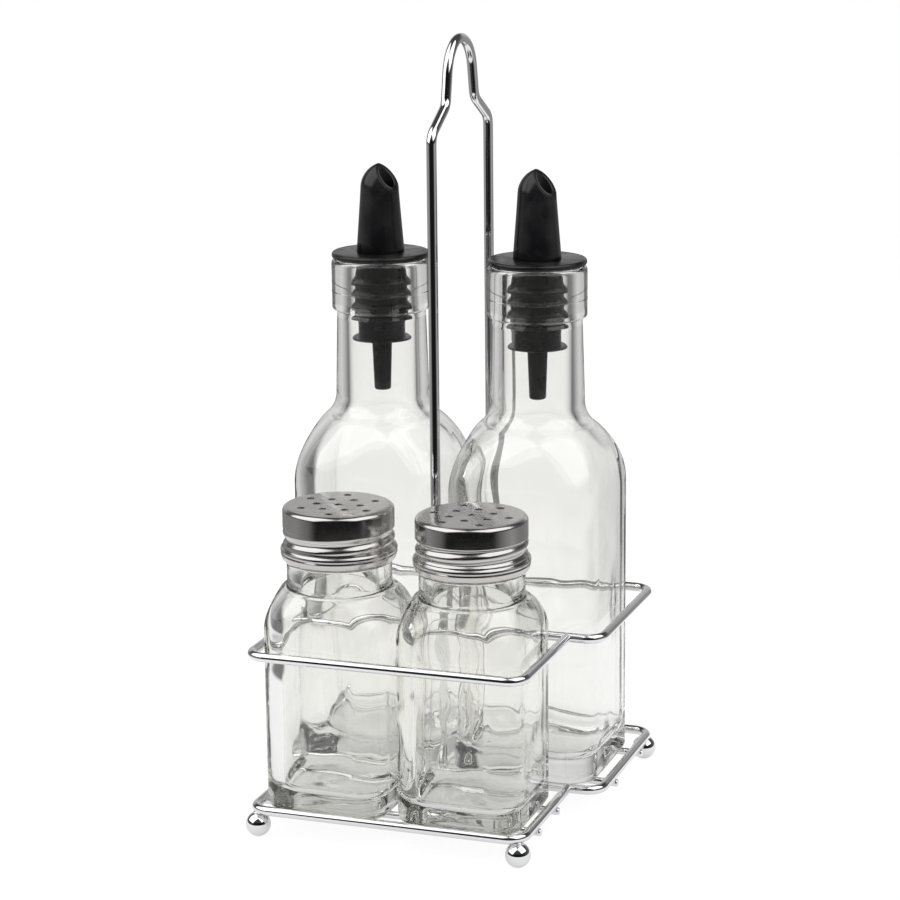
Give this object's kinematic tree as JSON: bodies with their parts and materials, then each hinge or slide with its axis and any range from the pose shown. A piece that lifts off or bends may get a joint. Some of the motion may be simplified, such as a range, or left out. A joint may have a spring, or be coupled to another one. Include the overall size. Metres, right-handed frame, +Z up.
{
  "type": "cruet set",
  "caption": "Chromed wire cruet stand with a tall loop handle on ball feet, holding square glass bottles with pouring stoppers and square glass shakers with screw caps.",
  "frame": {"origin": "centre of the stand's outer box, on the surface that the ball feet stand on", "axes": "+X to the right seen from the shakers' side, +Y to the back where the bottles stand, +Z up along the handle"},
  "size_m": [0.116, 0.1142, 0.2471],
  "materials": {
    "chrome_wire": "bright chrome plated wire",
    "chrome_ball": "bright chrome plated ball",
    "bottle_glass": "clear moulded glass",
    "jar_glass": "clear moulded glass",
    "cap_steel": "satin pressed stainless steel",
    "stopper_plastic": "satin black moulded plastic",
    "spout_plastic": "satin black moulded plastic"
  },
  "bodies": {
    "rack": {"base_ring": "chrome_wire", "base_front_loop": "chrome_wire", "guard_ring": "chrome_wire", "guard_front_loop": "chrome_wire", "carrying_handle": "chrome_wire", "cross_wire_1": "chrome_wire", "cross_wire_2": "chrome_wire", "cross_wire_3": "chrome_wire", "cross_wire_4": "chrome_wire", "front_left_foot": "chrome_ball", "front_right_foot": "chrome_ball", "back_left_foot": "chrome_ball", "back_right_foot": "chrome_ball"},
    "left_bottle": {"left_bottle": "bottle_glass"},
    "left_pourer": {"left_pourer_stopper": "stopper_plastic", "left_pourer_spout": "spout_plastic", "left_pourer_air_tube": "stopper_plastic"},
    "left_shaker": {"left_shaker_jar": "jar_glass"},
    "left_cap": {"left_shaker_cap": "cap_steel"},
    "right_bottle": {"right_bottle": "bottle_glass"},
    "right_pourer": {"right_pourer_stopper": "stopper_plastic", "right_pourer_spout": "spout_plastic", "right_pourer_air_tube": "stopper_plastic"},
    "right_shaker": {"right_shaker_jar": "jar_glass"},
    "right_cap": {"right_shaker_cap": "cap_steel"}
  },
  "joints": [
    {"name": "left_bottle_lift", "type": "slide", "parent": "rack", "child": "left_bottle", "axis": [0, 0, 1], "range_m": [0, 0.06]},
    {"name": "left_pourer_pull", "type": "slide", "parent": "left_bottle", "child": "left_pourer", "axis": [0, 0, 1], "range_m": [0, 0.048]},
    {"name": "left_shaker_lift", "type": "slide", "parent": "rack", "child": "left_shaker", "axis": [0, 0, 1], "range_m": [0, 0.06]},
    {"name": "left_cap_lift", "type": "slide", "parent": "left_shaker", "child": "left_cap", "axis": [0, 0, 1], "range_m": [0, 0.022]},
    {"name": "right_bottle_lift", "type": "slide", "parent": "rack", "child": "right_bottle", "axis": [0, 0, 1], "range_m": [0, 0.06]},
    {"name": "right_pourer_pull", "type": "slide", "parent": "right_bottle", "child": "right_pourer", "axis": [0, 0, 1], "range_m": [0, 0.048]},
    {"name": "right_shaker_lift", "type": "slide", "parent": "rack", "child": "right_shaker", "axis": [0, 0, 1], "range_m": [0, 0.06]},
    {"name": "right_cap_lift", "type": "slide", "parent": "right_shaker", "child": "right_cap", "axis": [0, 0, 1], "range_m": [0, 0.022]}
  ]
}
